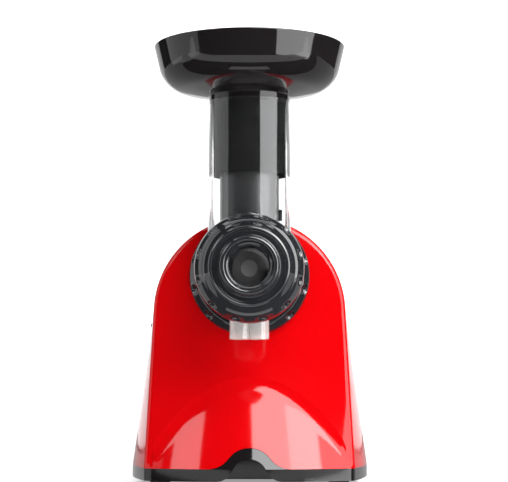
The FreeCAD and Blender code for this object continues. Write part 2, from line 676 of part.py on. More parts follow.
def bearing(name, y0):
    """A ball bearing as one closed ring, a running fit on the shaft."""
    return minus(name, rod_y(name + "_outer", dim.bearing_r, y0, y0 + dim.bearing_width, 0, motor_z),
                 rod_y(name + "_inner", dim.shaft_r + dim.run_clear, y0 - 1, y0 + dim.bearing_width + 1,
                       0, motor_z))


motor_bearings = union("motor_bearings", bearing("front_bearing", cover_back_y),
                       bearing("rear_bearing", bell_rear_y - dim.bearing_width))
BLADES = 8
blade_half = dim.shell_wall / 4
blades = []
for number in range(BLADES):
    blade = block(f"fan_blade_{number}", dim.shaft_r + 2, dim.fan_r, ZERO, dim.fan_width, -blade_half,
                  blade_half)
    turn = Rotation(Vector(0, 1, 0), 360 * number / BLADES)
    blade.Placement = Placement(Vector(), turn)
    offset = turn.multVec(Vector(dim.shaft_r.value + 2, 0, -blade_half.value))
    place(blade, offset.x, fan_y0, motor_z + offset.z)
    blades.append(blade)
fan_hub = minus("fan_hub", rod_y("fan_boss", dim.shaft_r * 2, fan_y0, fan_y1, 0, motor_z),
                rod_y("fan_hole", dim.shaft_r, fan_y0 - 1, fan_y1 + 1, 0, motor_z))
cooling_fan = union("cooling_fan", fan_hub, *blades)
tie_bolts = union("tie_bolts", *[
    union(f"tie_bolt_{i}", rod_y(f"tie_rod_{i}", dim.tie_bolt_r, cover_back_y, bell_rear_y, x, z),
          rod_y(f"tie_head_{i}", dim.tie_bolt_r * 1.9, bell_rear_y, bell_rear_y + dim.tie_bolt_r * 1.4, x,
                z))
    for i, (x, z) in enumerate(bolt_spots)])
motor_mounts = union("motor_mounts", *[
    block(f"motor_mount_{i}", -dim.mount_width / 2, dim.mount_width / 2, y, y + dim.mount_length, floor_z,
          motor_z - dim.motor_half)
    for i, y in enumerate((stator_y0, stator_y1 - dim.mount_length))])
run_capacitor = block("run_capacitor", dim.motor_half + 4, dim.motor_half + 4 + dim.cap_width, stator_y0,
                      stator_y0 + dim.cap_length, floor_z, floor_z + dim.cap_height)

# Rear inlet: an appliance socket with two pins, where the mains lead plugs in
inlet_gap = dim.panel_gap
inlet_body = block("inlet_body", inlet_gap - dim.inlet_width / 2, dim.inlet_width / 2 - inlet_gap,
                   rear_y - dim.inlet_depth, rear_y - dim.panel_gap,
                   dim.inlet_z - dim.inlet_height / 2 + inlet_gap,
                   dim.inlet_z + dim.inlet_height / 2 - inlet_gap)
inlet_back = block("inlet_back", -dim.inlet_width / 2 - dim.inlet_flange,
                   dim.inlet_width / 2 + dim.inlet_flange,
                   rear_y - dim.inlet_depth, rear_y - dim.shell_wall,
                   dim.inlet_z - dim.inlet_height / 2 - dim.inlet_flange,
                   dim.inlet_z + dim.inlet_height / 2 + dim.inlet_flange)
inlet_well = block("inlet_well", dim.inlet_flange - dim.inlet_width / 2,
                   dim.inlet_width / 2 - dim.inlet_flange,
                   rear_y - dim.inlet_depth + dim.inlet_flange, rear_y + 1,
                   dim.inlet_z - dim.inlet_height / 2 + dim.inlet_flange,
                   dim.inlet_z + dim.inlet_height / 2 - dim.inlet_flange)
power_inlet = minus("power_inlet", union("inlet_whole", inlet_body, inlet_back), inlet_well)
inlet_pins = union("inlet_pins", *[
    rod_y(f"inlet_pin_{side}", dim.pin_r, rear_y - dim.inlet_depth + dim.inlet_flange,
          rear_y - dim.shell_wall,
          side * dim.inlet_width / 5, dim.inlet_z) for side in (-1, 1)])

# Power switch on the left side: a bezel through the wall and a rocker on a pin
switch_y = front_y + dim.mid_depth
switch_x1 = dim.switch_depth - dim.switch_reach
half_w = dim.switch_width / 2 - dim.panel_gap
half_h = dim.switch_height / 2 - dim.panel_gap
bezel_well = (half_w - dim.bezel_wall, half_h - dim.bezel_wall)
switch_bezel = minus(
    "switch_bezel",
    block("bezel_body", -dim.switch_reach, switch_x1, switch_y - half_w, switch_y + half_w,
          dim.switch_z - half_h, dim.switch_z + half_h),
    block("bezel_well", -dim.switch_reach - 1, switch_x1 - dim.bezel_wall, switch_y - bezel_well[0],
          switch_y + bezel_well[0], dim.switch_z - bezel_well[1], dim.switch_z + bezel_well[1]))
rocker_half_w = bezel_well[0] - dim.rocker_gap
rocker_half_h = bezel_well[1] - dim.rocker_gap * 2
rocker_x0 = -dim.switch_reach - dim.rocker_reach
pivot_x = -dim.switch_reach + dim.switch_depth / 3
rocker_body = doc.addObject("PartDesign::Body", "rocker_body")
rocker_sketch = new_sketch(rocker_body, "rocker_outline", "XZ_Plane", -(switch_y + rocker_half_w))
polygon(rocker_sketch, [
    (rocker_x0, dim.switch_z + rocker_half_h), (rocker_x0 + dim.rocker_reach / 2, dim.switch_z),
    (rocker_x0, dim.switch_z - rocker_half_h), (pivot_x, dim.switch_z - rocker_half_h * 0.7),
    (pivot_x + dim.shaft_r / 2, dim.switch_z), (pivot_x, dim.switch_z + rocker_half_h * 0.7)])
rocker_pad = rocker_body.newObject("PartDesign::Pad", "rocker_pad")
rocker_pad.Profile = rocker_sketch
bind(rocker_pad, Length=rocker_half_w * 2)
pivot_r = dim.pin_r
power_rocker = minus("power_rocker", rocker_body, rod_y("rocker_hole", pivot_r + dim.run_clear,
                                                        switch_y - dim.switch_width,
                                                        switch_y + dim.switch_width,
                                                        pivot_x, dim.switch_z))
rocker_pin = rod_y("rocker_pin", pivot_r, switch_y - bezel_well[0], switch_y + bezel_well[0], pivot_x,
                   dim.switch_z)

# Drum: one clear moulding of barrel, feed tube and juice spout
drum_r = dim.drum_bore + dim.drum_wall
drum_y0 = front_y - dim.drum_front
drum_y1 = front_y + dim.drum_spigot
spout_y = tube_y - dim.spout_forward
spout_z = dim.drive_z - dim.spout_drop
tube_bore = dim.tube_r - dim.tube_wall
barrel = rod_y("barrel", drum_r, drum_y0, drum_y1, 0, dim.drive_z)
tube = post("tube", dim.tube_r, dim.drive_z, dim.tube_top, 0, tube_y)
lip = post("lip", dim.tube_r + dim.lip_reach, dim.tube_top - dim.lip_height, dim.tube_top, 0, tube_y)


def spout_lobes(name, inset, z0, z1):
    """The two round-ended columns of the spout, side by side."""
    radius = dim.spout_lobe - inset
    straight = dim.spout_length / 2 - dim.spout_lobe
    solids = []
    for side, sign in (("left", -1), ("right", 1)):
        x = (dim.spout_width / 2 - dim.spout_lobe) * sign
        solids.append(block(f"{name}_{side}", x - radius, x + radius, spout_y - straight,
                            spout_y + straight, z0, z1))
        solids.append(post(f"{name}_{side}_front", radius, z0, z1, x, spout_y - straight))
        solids.append(post(f"{name}_{side}_back", radius, z0, z1, x, spout_y + straight))
    return union(name, *solids)


spout = spout_lobes("spout", ZERO, spout_z, dim.drive_z)
spout_bore = spout_lobes("spout_bore", dim.spout_wall, spout_z - 1, dim.drive_z)
drum_core = rod_y("drum_core", dim.drum_bore, drum_y0 - 1, drum_y1 + 1, 0, dim.drive_z)
tube_hollow = post("tube_hollow", tube_bore, dim.drive_z, dim.tube_top + 1, 0, tube_y)
juicing_drum = minus("juicing_drum", union("drum_solid", barrel, tube, lip, spout), tube_hollow, spout_bore,
                     drum_core)

# Auger: a tapered screw on a hexagonal drive, and the strainer that it turns in
auger_y1 = front_y - dim.ring_gap
auger_nose_y = front_y - dim.auger_nose
flight_y0 = auger_nose_y + dim.auger_tip_r
flight_length = auger_y1 - dim.seal_width * 2 - flight_y0
auger_stem = turned_y("auger_stem", [
    (auger_y1, ZERO), (auger_y1, dim.auger_core), (flight_y0, dim.auger_core),
    (auger_nose_y, dim.auger_tip_r),
    (auger_nose_y, ZERO)], dim.drive_z)


def flight_shape():
    length = flight_length.value
    helix = Part.makeHelix(dim.auger_pitch.value, length, dim.auger_core.value)
    inner = dim.auger_core.value - 1
    root, tip = dim.flight_root.value / 2, dim.flight_tip.value / 2
    corners = [Vector(inner, 0, -root), Vector(dim.auger_r.value, 0, -tip),
               Vector(dim.auger_r.value, 0, tip),
               Vector(inner, 0, root), Vector(inner, 0, -root)]
    profile = Part.Wire(Part.makePolygon(corners).Edges)
    return Part.Wire(helix.Edges).makePipeShell([profile], True, True)


auger_flight = ready_made("auger_flight", flight_shape())
place(auger_flight, ZERO, flight_y0 + dim.flight_root / 2, dim.drive_z, ALONG_Y)
hex_depth = output_y0 - dim.case_wall - 1
auger = union("auger", auger_stem, auger_flight,
              hexagon("auger_hex", dim.hex_flat, auger_y1 - 1, hex_depth, dim.drive_z))
sieve_r = dim.drum_bore - dim.run_clear
sieve_y0 = drum_y0 + 1
sieve_y1 = sieve_y0 + dim.sieve_length
sieve_tools = [rod_y("sieve_bore", sieve_r - dim.sieve_wall, sieve_y0 - 1, sieve_y1 + 1, 0, dim.drive_z),
               block("sieve_open", -drum_r, drum_r, sieve_y0 - 1, sieve_y1 + 1, dim.drive_z,
                     dim.drive_z + drum_r)]
slot_step = dim.sieve_length / (dim.sieve_slots + 1)
for number in range(int(dim.sieve_slots.value)):
    slot_y = sieve_y0 + slot_step * (number + 1)
    sieve_tools.append(block(f"sieve_slot_{number}", -dim.drum_bore / 2, dim.drum_bore / 2,
                             slot_y - dim.slot_width / 2,
                             slot_y + dim.slot_width / 2, dim.drive_z - drum_r,
                             dim.drive_z - dim.drum_bore / 2))
strainer = minus("strainer", rod_y("sieve_tube", sieve_r, sieve_y0, sieve_y1, 0, dim.drive_z), *sieve_tools)
shaft_seal = turned_y("shaft_seal", [
    (auger_y1 - dim.seal_width, dim.auger_core + dim.run_clear), (auger_y1 - dim.seal_width, sieve_r),
    (auger_y1, sieve_r), (auger_y1, dim.auger_core + dim.run_clear)], dim.drive_z)


def dents(name, radius, y):
    """A ring of finger dents about the drum's axis."""
    balls = []
    for number in range(int(dim.dent_count.value)):
        angle = 2 * math.pi * (number + 0.5) / dim.dent_count.value
        reach = radius + dim.dent_r - dim.dent_depth
        ball = doc.addObject("Part::Sphere", f"{name}_{number}")
        bind(ball, Radius=dim.dent_r)
        balls.append(place(ball, reach * math.cos(angle), y, dim.drive_z + reach * math.sin(angle)))
    return balls


# Lock ring at the housing, front cap and pulp nozzle: smoked plastic, each turned by hand
ring_y1 = front_y - dim.ring_gap
ring_y0 = ring_y1 - dim.ring_width
ring_bore = drum_r + dim.run_clear
ring_blank = turned_y("ring_blank", [
    (ring_y0, ring_bore), (ring_y0, dim.ring_r - dim.ring_slope), (ring_y0 + dim.ring_slope, dim.ring_r),
    (ring_y1, dim.ring_r),
    (ring_y1, ring_bore)], dim.drive_z)
lock_ring = minus("lock_ring", ring_blank, *dents("ring_dent", dim.ring_r, ring_y0 + dim.ring_slope / 2))
cap_y1 = front_y - dim.cap_back
cap_rim_y = cap_y1 - dim.cap_rim
cap_slope_y = cap_rim_y - dim.cap_slope
cap_face_y = front_y - dim.cap_face
cap_bore = drum_r + dim.run_clear
cap_floor_y = drum_y0 - dim.turn_clear
cap_blank = turned_y("cap_blank", [
    (cap_y1, cap_bore), (cap_y1, dim.cap_r), (cap_rim_y, dim.cap_r), (cap_slope_y, dim.cap_shoulder_r),
    (cap_face_y, dim.cap_face_r), (cap_face_y, dim.nozzle_seat + dim.run_clear),
    (cap_floor_y, dim.nozzle_seat + dim.run_clear), (cap_floor_y, cap_bore)], dim.drive_z)
front_cap = minus("front_cap", cap_blank, *dents("cap_dent", dim.cap_r, cap_rim_y - dim.cap_rim / 3))
nozzle_y0 = front_y - dim.hub_reach
nozzle_flange_y = cap_face_y - dim.turn_clear
pulp_nozzle = turned_y("pulp_nozzle", [
    (nozzle_flange_y, dim.nozzle_seat), (nozzle_flange_y, dim.nozzle_r), (nozzle_y0 + 2, dim.nozzle_r),
    (nozzle_y0, dim.nozzle_r - 2), (nozzle_y0, dim.nozzle_bore + 1), (nozzle_y0 + 2, dim.nozzle_bore),
    (cap_floor_y, dim.nozzle_bore), (cap_floor_y, dim.nozzle_seat)], dim.drive_z)

# Hopper tray with its neck in the feed tube, and the pusher that stands in it
sleeve_r = tube_bore - dim.sleeve_clear
sleeve_end = dim.tube_top - dim.sleeve_length
tray_floor = dim.tube_top + dim.neck_height
tray_top = tray_floor + dim.tray_depth
sleeve_bore = sleeve_r - dim.sleeve_wall
floor_top = tray_floor + dim.tray_wall
bowl_r = dim.tray_r - dim.tray_draft
bowl_floor = tray_floor + dim.funnel_rise
bowl_bore = bowl_r - dim.tray_wall
tray_turned = turned_z("tray_turned", [
    (sleeve_bore, sleeve_end), (sleeve_r, sleeve_end), (sleeve_r, dim.tube_top), (dim.neck_r, dim.tube_top),
    (dim.neck_r, tray_floor), (bowl_r, bowl_floor), (dim.tray_r, tray_top),
    (dim.tray_r - dim.tray_wall, tray_top),
    (bowl_bore, bowl_floor + dim.tray_wall), (sleeve_bore, floor_top)], tube_y)
hopper_outside = rounded("hopper_outside", tray_turned, dim.tray_corner, ring_at(bowl_r, "z", bowl_floor))
hopper_tray = rounded("hopper_tray", hopper_outside, dim.tray_corner - dim.tray_wall,
                      ring_at(bowl_bore, "z", bowl_floor + dim.tray_wall))
head_run = (dim.pusher_head_r - sleeve_bore) / (bowl_bore - sleeve_bore)
head_seat = floor_top + dim.funnel_rise * head_run + dim.seat_gap
head_top = head_seat + dim.pusher_head
pusher_bore = dim.pusher_r - dim.pusher_wall
pusher_turned = turned_z("pusher_turned", [
    (ZERO, dim.pusher_end), (dim.pusher_r, dim.pusher_end), (dim.pusher_r, head_seat),
    (dim.pusher_head_r, head_seat), (dim.pusher_head_r, head_top), (pusher_bore, head_top),
    (pusher_bore, dim.pusher_end + dim.pusher_wall * 2), (ZERO, dim.pusher_end + dim.pusher_wall * 2)],
    tube_y)
pusher_lug = block("pusher_lug", dim.pusher_r - 1, dim.pusher_r + dim.lug_reach, tube_y - dim.lug_width / 2,
                   tube_y + dim.lug_width / 2, dim.lug_z - dim.lug_height / 2,
                   dim.lug_z + dim.lug_height / 2)
food_pusher = union("food_pusher", pusher_turned, pusher_lug)

PIECES = [
    base_tray, rubber_feet, foot_screws, housing_shell, docking_socket, gearbox_case, gearbox_cover,
    cover_screws, output_bush,
    idler_pin, output_gear, drive_coupling, idler_gear, pinion_shaft, rotor_core, cooling_fan,
    motor_bearings, front_bell,
    rear_bell, stator_core, stator_windings, tie_bolts, motor_mounts, run_capacitor, power_inlet,
    inlet_pins,
    switch_bezel, power_rocker, rocker_pin, juicing_drum, auger, strainer, shaft_seal, lock_ring, front_cap,
    pulp_nozzle, hopper_tray, food_pusher,
]
doc.recompute()
for item in doc.Objects:
    if "Invalid" in item.State or "Error" in item.State:
        raise RuntimeError(f"{item.Name} failed: {item.State}")
os.makedirs("parts", exist_ok=True)
for piece in PIECES:
    shape = piece.Shape
    if shape.isNull() or not shape.isValid() or not shape.Solids:
        raise RuntimeError(f"{piece.Name} has no valid solid")
    shape.exportStep(f"parts/{piece.Name}.step")
    print(f"{piece.Name:18s} solids {len(shape.Solids)} volume {shape.Volume:10.1f}")
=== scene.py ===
import math

import bmesh
import bpy
from mathutils import Matrix, Vector


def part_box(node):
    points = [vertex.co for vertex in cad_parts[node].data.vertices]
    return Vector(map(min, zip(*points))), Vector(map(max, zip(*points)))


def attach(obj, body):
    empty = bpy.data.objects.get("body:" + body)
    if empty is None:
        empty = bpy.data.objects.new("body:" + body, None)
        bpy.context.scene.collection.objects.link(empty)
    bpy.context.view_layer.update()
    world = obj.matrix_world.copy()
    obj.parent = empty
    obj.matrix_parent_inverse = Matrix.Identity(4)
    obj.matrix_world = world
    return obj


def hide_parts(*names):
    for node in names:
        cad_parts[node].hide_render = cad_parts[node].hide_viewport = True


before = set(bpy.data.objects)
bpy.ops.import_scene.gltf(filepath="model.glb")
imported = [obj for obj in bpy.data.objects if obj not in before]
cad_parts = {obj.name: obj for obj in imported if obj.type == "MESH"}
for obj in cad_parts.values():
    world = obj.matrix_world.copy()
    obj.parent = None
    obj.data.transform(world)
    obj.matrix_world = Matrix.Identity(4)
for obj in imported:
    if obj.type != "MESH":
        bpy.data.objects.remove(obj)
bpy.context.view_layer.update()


# Base tray. One black moulding with a polished rim, seen as a band under the red housing and as a bell-shaped
# arch in the front of it. The housing stands on it, and the feet are screwed to its underside.
class Value:
    """A shader socket of one material that takes part in plain arithmetic."""

    def __init__(self, material, socket=None):
        self.material = material
        self.socket = socket

    def node(self, kind, settings=None, output=0, **inputs):
        """Adds a node of one type, sets it up, feeds its sockets and gives one of its outputs."""
        made = self.material.node_tree.nodes.new(kind)
        for name, setting in (settings or {}).items():
            setattr(made, name, setting)
        for name, given in inputs.items():
            key = int(name[1:]) if name[1:].isdigit() else name.replace("_", " ")
            self.feed(made.inputs[key], given)
        return Value(self.material, made.outputs[output])

    def feed(self, target, given):
        """Links a value to a socket, or sets the socket to a plain number or colour."""
        if isinstance(given, Value):
            self.material.node_tree.links.new(given.socket, target)
        else:
            target.default_value = given

    def math(self, operation, first, second):
        return self.node("ShaderNodeMath", {"operation": operation}, i0=first, i1=second)

    def __add__(self, other):
        return self.math("ADD", self, other)

    def __sub__(self, other):
        return self.math("SUBTRACT", self, other)

    def __rsub__(self, other):
        return self.math("SUBTRACT", other, self)

    def __mul__(self, other):
        return self.math("MULTIPLY", self, other)

    __radd__ = __add__
    __rmul__ = __mul__

    def mixed(self, low, high):
        """A colour between two, by this value."""
        return self.node("ShaderNodeMix", {"data_type": "RGBA"}, output=2, i0=self, i6=low, i7=high)


def surface_of(value):
    return value.material.node_tree.nodes["Principled BSDF"]


def paint(value, **sockets):
    """Feeds sockets of the material's surface, and gives the material."""
    for socket, given in sockets.items():
        value.feed(surface_of(value).inputs[socket.replace("_", " ")], given)
    return value.material


def finish(name, **steady):
    """A new material with its steady sockets set, and the place on the piece to paint by."""
    material = bpy.data.materials.new(name)
    material.use_nodes = True
    start = Value(material)
    paint(start, **steady)
    return start, start.node("ShaderNodeTexCoord", output="Object")


def noise(place, scale, detail=2.0):
    return place.node("ShaderNodeTexNoise", Vector=place, Scale=scale, Detail=detail)


def bumped(height, strength, distance):
    return height.node("ShaderNodeBump", Height=height, Strength=strength, Distance=distance)


sharp_angle = math.radians(32)
merge_distance = 0.00001


def dress(material, *names):
    """Gives CAD pieces their finish, and smooths the shading across their faces up to sharp edges."""
    for name in names:
        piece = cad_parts[name]
        piece.data.materials.clear()
        piece.data.materials.append(material)
        for side in piece.data.polygons:
            side.use_smooth = True
        weld = piece.modifiers.new("weld", "WELD")
        weld.merge_threshold = merge_distance
        split = piece.modifiers.new("sharp_edges", "EDGE_SPLIT")
        split.split_angle = sharp_angle
        even = piece.modifiers.new("even_shading", "WEIGHTED_NORMAL")
        even.mode = "CORNER_ANGLE"


gloss, place = finish("polished_black", Specular_IOR_Level=0.5)
haze = noise(place, 22)
dust = noise(place, 900, 1.0)
polished_black = paint(
    gloss,
    Base_Color=haze.mixed((0.0035, 0.003, 0.0034, 1), (0.007, 0.006, 0.0065, 1)),
    Roughness=0.03 + haze * 0.05,
    Normal=bumped(dust, 0.02, 0.0002),
)
dress(polished_black, "base_tray")

# Feet and their screws. Four soft rubber pads under the corners of the base, each held by a bright steel
# screw of its own.
soft, place = finish("foot_rubber", Specular_IOR_Level=0.3)
grain = noise(place, 600, 3.0)
foot_rubber = paint(
    soft,
    Base_Color=grain.mixed((0.018, 0.018, 0.018, 1), (0.045, 0.044, 0.042, 1)),
    Roughness=0.75 + grain * 0.2,
    Normal=bumped(grain, 0.3, 0.0003),
)
dress(foot_rubber, "rubber_feet")

bright, place = finish("bright_steel", Metallic=1.0)
swirl = noise(place, 140, 3.0)
bright_steel = paint(
    bright,
    Base_Color=swirl.mixed((0.42, 0.42, 0.43, 1), (0.66, 0.66, 0.67, 1)),
    Roughness=0.22 + swirl * 0.18,
)
dress(bright_steel, "foot_screws")

# Gearbox. A textured black case with a screwed cover that bolts to the docking socket. Two wheels of natural
# acetal bring the speed down, and a steel coupling in a brass bush drives the auger.
textured, place = finish("textured_black", Specular_IOR_Level=0.4)
stipple = noise(place, 1500, 2.0)
patch = noise(place, 30)
textured_black = paint(
    textured,
    Base_Color=patch.mixed((0.012, 0.012, 0.013, 1), (0.026, 0.026, 0.028, 1)),
    Roughness=0.42 + stipple * 0.2,
    Normal=bumped(stipple, 0.25, 0.0002),
)
dress(textured_black, "gearbox_case", "gearbox_cover")

acetal, place = finish("natural_acetal", Specular_IOR_Level=0.45)
cloud = noise(place, 60)
natural_acetal = paint(
    acetal,
    Base_Color=cloud.mixed((0.66, 0.64, 0.57, 1), (0.8, 0.78, 0.72, 1)),
    Roughness=0.35 + cloud * 0.15,
)
dress(natural_acetal, "output_gear", "idler_gear")

yellow, place = finish("plain_brass", Metallic=1.0)
tarnish = noise(place, 90, 3.0)
plain_brass = paint(
    yellow,
    Base_Color=tarnish.mixed((0.44, 0.3, 0.1, 1), (0.68, 0.5, 0.22, 1)),
    Roughness=0.25 + tarnish * 0.2,
)
dress(plain_brass, "output_bush")
dress(bright_steel, "cover_screws", "idler_pin", "drive_coupling")

# Motor. A stack of steel sheets with varnished windings between two cast end bells, held by tie bolts. The
# rotor runs in two bearings with a moulded fan on its shaft. Moulded mounts carry it beside a pale capacitor.
stack, place = finish("steel_sheets", Metallic=0.8)
sheets = place.node("ShaderNodeTexWave", {"bands_direction": "Y"}, output=1,
                    Vector=place, Scale=320.0, Distortion=0.4)
steel_sheets = paint(
    stack,
    Base_Color=sheets.mixed((0.12, 0.12, 0.13, 1), (0.26, 0.26, 0.27, 1)),
    Roughness=0.55 - sheets * 0.1,
)
dress(steel_sheets, "stator_core", "rotor_core")

cast, place = finish("cast_aluminium", Metallic=1.0)
cast_grain = noise(place, 260, 4.0)
cast_aluminium = paint(
    cast,
    Base_Color=cast_grain.mixed((0.48, 0.49, 0.5, 1), (0.66, 0.67, 0.68, 1)),
    Roughness=0.45 + cast_grain * 0.2,
    Normal=bumped(cast_grain, 0.2, 0.0004),
)
dress(cast_aluminium, "front_bell", "rear_bell")

wire, place = finish("varnished_wire", Metallic=0.7, Coat_Weight=0.5)
strand = place.node("ShaderNodeTexWave", {"wave_type": "RINGS", "rings_direction": "Y"}, output=1,
                    Vector=place, Scale=160.0)
varnished_wire = paint(
    wire,
    Base_Color=strand.mixed((0.2, 0.06, 0.02, 1), (0.56, 0.22, 0.08, 1)),
    Roughness=0.35 - strand * 0.1,
    Normal=bumped(strand, 0.5, 0.0004),
)
dress(varnished_wire, "stator_windings")

can, place = finish("pale_case", Specular_IOR_Level=0.4)
speck = noise(place, 400)
pale_case = paint(
    can,
    Base_Color=speck.mixed((0.5, 0.5, 0.48, 1), (0.66, 0.66, 0.63, 1)),
    Roughness=0.4 + speck * 0.2,
)
dress(pale_case, "run_capacitor")
dress(bright_steel, "pinion_shaft", "motor_bearings", "tie_bolts")
dress(textured_black, "motor_mounts", "cooling_fan")

# Housing shell. One red moulding with a polished skin, from the front arch to the rounded back, with a flared
# skirt low on the front and the drum's docking socket above it. The gloss has the faint ripple of a moulding.
red, place = finish("polished_red", Specular_IOR_Level=0.4)
depth = noise(place, 14)
ripple = noise(place, 55)
polished_red = paint(
    red,
    Base_Color=depth.mixed((0.38, 0.0003, 0.0012, 1), (0.44, 0.0004, 0.0017, 1)),
    Roughness=0.05 + depth * 0.05,
    Normal=bumped(ripple, 0.012, 0.0006),
)
dress(polished_red, "housing_shell")
dress(textured_black, "docking_socket")


# Face of the flared skirt. The skirt swells out of the flat front as part of a cone, cut away over the arch.
# It runs into the front through a soft hollow radius: a long arch from corner to corner that catches light.
def new_piece(name, shape, material, body):
    """Makes a smooth-shaded piece of a bmesh, with sharp edges kept, and rides it on a body."""
    for edge in shape.edges:
        edge.smooth = len(edge.link_faces) == 2 and edge.calc_face_angle(0) < sharp_angle
    for side in shape.faces:
        side.smooth = True
    mesh = bpy.data.meshes.new(name)
    shape.to_mesh(mesh)
    shape.free()
    mesh.materials.append(material)
    piece = bpy.data.objects.new(name, mesh)
    bpy.context.scene.collection.objects.link(piece)
    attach(piece, body)
    return piece


ring_low, ring_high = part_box("lock_ring")
ring_gap = 0.0004
front_y = ring_high.y + ring_gap
rim_z = 0.016
skirt_top = 0.077
skirt_reach = 0.020
skirt_half = 0.0767
skirt_wall = 0.001
cone_r = (skirt_half ** 2 + skirt_reach ** 2) / (2 * skirt_reach)
flare = skirt_reach / (skirt_top - rim_z)
arch_half = 0.03025
arch_rise = 0.01525
arch_bend = (arch_half ** 2 + arch_rise ** 2) / (4 * arch_rise)
face_half = 0.0708
face_lift = 0.00008
foot_gap = 0.0002
soft_reach = 0.0062
soft_share = 0.8


def skirt_foot(x):
    """Height of the skirt's lower edge, which climbs over the arch."""
    if abs(x) < arch_half / 2:
        return rim_z + arch_rise - arch_bend + math.sqrt(arch_bend ** 2 - x * x)
    if abs(x) < arch_half:
        return rim_z + arch_bend - math.sqrt(arch_bend ** 2 - (arch_half - abs(x)) ** 2)
    return rim_z


def cone_point(x, z):
    """The place on the skirt's cone at a width and a height."""
    radius = cone_r - (z - rim_z) * flare
    return Vector((x, front_y - skirt_reach + cone_r - math.sqrt(radius ** 2 - x * x), z))


def skirt_point(x, climb):
    """The place on the skirt's face, from its foot at 0, up the cone to a half, and over the radius to 1."""
    span = math.hypot(x, cone_r - skirt_reach)
    ridge = rim_z + (cone_r - span) / flare
    reach = min(soft_reach * math.hypot(1, x / span / flare), (ridge - skirt_foot(x)) * soft_share)
    below = cone_point(x, ridge - reach)
    if climb < 0.5:
        foot = skirt_foot(x) + foot_gap
        return cone_point(x, foot + (below.z - foot) * climb * 2)
    turn = climb * 2 - 1
    middle = Vector((x, front_y, ridge))
    above = Vector((x, front_y, ridge + reach))
    return below.lerp(middle, turn).lerp(middle.lerp(above, turn), turn)


skirt = bmesh.new()
bmesh.ops.create_grid(skirt, x_segments=150, y_segments=36, size=1)
for vert in skirt.verts:
    vert.co = skirt_point(vert.co.x * face_half, (vert.co.y + 1) / 2) - Vector((0, face_lift, 0))
bmesh.ops.recalc_face_normals(skirt, faces=skirt.faces)
if sum(side.normal.y for side in skirt.faces) > 0:
    bmesh.ops.reverse_faces(skirt, faces=skirt.faces)
bmesh.ops.solidify(skirt, geom=list(skirt.faces), thickness=skirt_wall)
skirt_face = new_piece("skirt_face", skirt, polished_red, "machine")

# Power inlet in the rear wall. A textured black socket pressed into the housing, with two brass pins moulded
# into its floor.
dress(textured_black, "power_inlet")
dress(plain_brass, "inlet_pins")

# Power switch on the left side. A polished bezel pressed into the housing wall round a textured rocker, which
# tips on a steel pin.
dress(polished_black, "switch_bezel")
dress(textured_black, "power_rocker")
dress(bright_steel, "rocker_pin")

# Drum. Barrel, feed tube and two-channel juice spout in one clear moulding, a little cloudy low down at the
# spout. It is plugged into the housing and held there by the lock ring.
clear, place = finish("clear_plastic", Transmission_Weight=1.0, IOR=1.46)
smear = noise(place, 35)
clear_plastic = paint(
    clear,
    Base_Color=smear.mixed((0.95, 0.97, 0.98, 1), (0.99, 0.99, 0.99, 1)),
    Roughness=0.015 + smear * 0.03,
)
cloudy = clear.node("ShaderNodeBsdfPrincipled", Base_Color=(0.74, 0.72, 0.7, 1), Roughness=0.08,
                    Transmission_Weight=0.35, Specular_IOR_Level=0.8)
cloud_top = 0.1275
cloud_edge = 400.0
cloud_share = 0.42
level = place.node("ShaderNodeSeparateXYZ", output=2, Vector=place)
lower = clear.node("ShaderNodeClamp", Value=(cloud_top - level) * cloud_edge) * cloud_share
glassy = Value(clear_plastic, surface_of(clear).outputs[0])
blended = clear.node("ShaderNodeMixShader", i0=lower, i1=glassy, i2=cloudy)
clear.feed(clear_plastic.node_tree.nodes["Material Output"].inputs["Surface"], blended)
dress(clear_plastic, "juicing_drum")

# Auger, strainer and shaft seal inside the drum. The screw is a hard grey moulding on the output shaft, the
# strainer is a bright steel sleeve, and a soft rubber seal keeps juice out of the housing.
screw, place = finish("screw_grey", Specular_IOR_Level=0.4)
worn = noise(place, 80, 3.0)
screw_grey = paint(
    screw,
    Base_Color=worn.mixed((0.1, 0.1, 0.102, 1), (0.17, 0.17, 0.172, 1)),
    Roughness=0.35 + worn * 0.2,
)
dress(screw_grey, "auger")
dress(bright_steel, "strainer")
dress(foot_rubber, "shaft_seal")

# Lock ring. A dark smoky moulding with a polished skin and a sloped front, turned by hand to hold the drum in
# the housing. Round finger dents are pressed into the slope.
smoke, place = finish("smoky_plastic", Specular_IOR_Level=1.0)
veil = noise(place, 26)
smoky_plastic = paint(
    smoke,
    Base_Color=veil.mixed((0.007, 0.0075, 0.0085, 1), (0.014, 0.015, 0.017, 1)),
    Roughness=0.03 + veil * 0.04,
)
cap_low, cap_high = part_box("front_cap")
drive_z = (cap_low.z + cap_high.z) / 2
upright = Vector((0, 0, 1))


def turned(corners, steps, fine):
    """A closed profile of (radius, height, rounding) corners, cut into fine lengths and spun upright."""
    shape = bmesh.new()
    points = [shape.verts.new((radius, 0, height)) for radius, height, rounding in corners]
    shape.faces.new(points)
    for point, (radius, height, rounding) in zip(points, corners):
        if rounding:
            bmesh.ops.bevel(shape, geom=[point], offset=rounding, affect="VERTICES", segments=6, profile=0.5,
                            material=-1, clamp_overlap=True)
    bmesh.ops.delete(shape, geom=list(shape.faces), context="FACES_ONLY")
    for edge in list(shape.edges):
        cuts = int(edge.calc_length() / fine)
        if cuts:
            bmesh.ops.subdivide_edges(shape, edges=[edge], cuts=cuts)
    bmesh.ops.spin(shape, geom=list(shape.verts) + list(shape.edges), cent=(0, 0, 0), axis=upright,
                   angle=math.tau, steps=steps, use_merge=True)
    bmesh.ops.remove_doubles(shape, verts=shape.verts, dist=merge_distance)
    bmesh.ops.dissolve_degenerate(shape, edges=shape.edges, dist=merge_distance / 10)
    bmesh.ops.recalc_face_normals(shape, faces=shape.faces)
    return shape


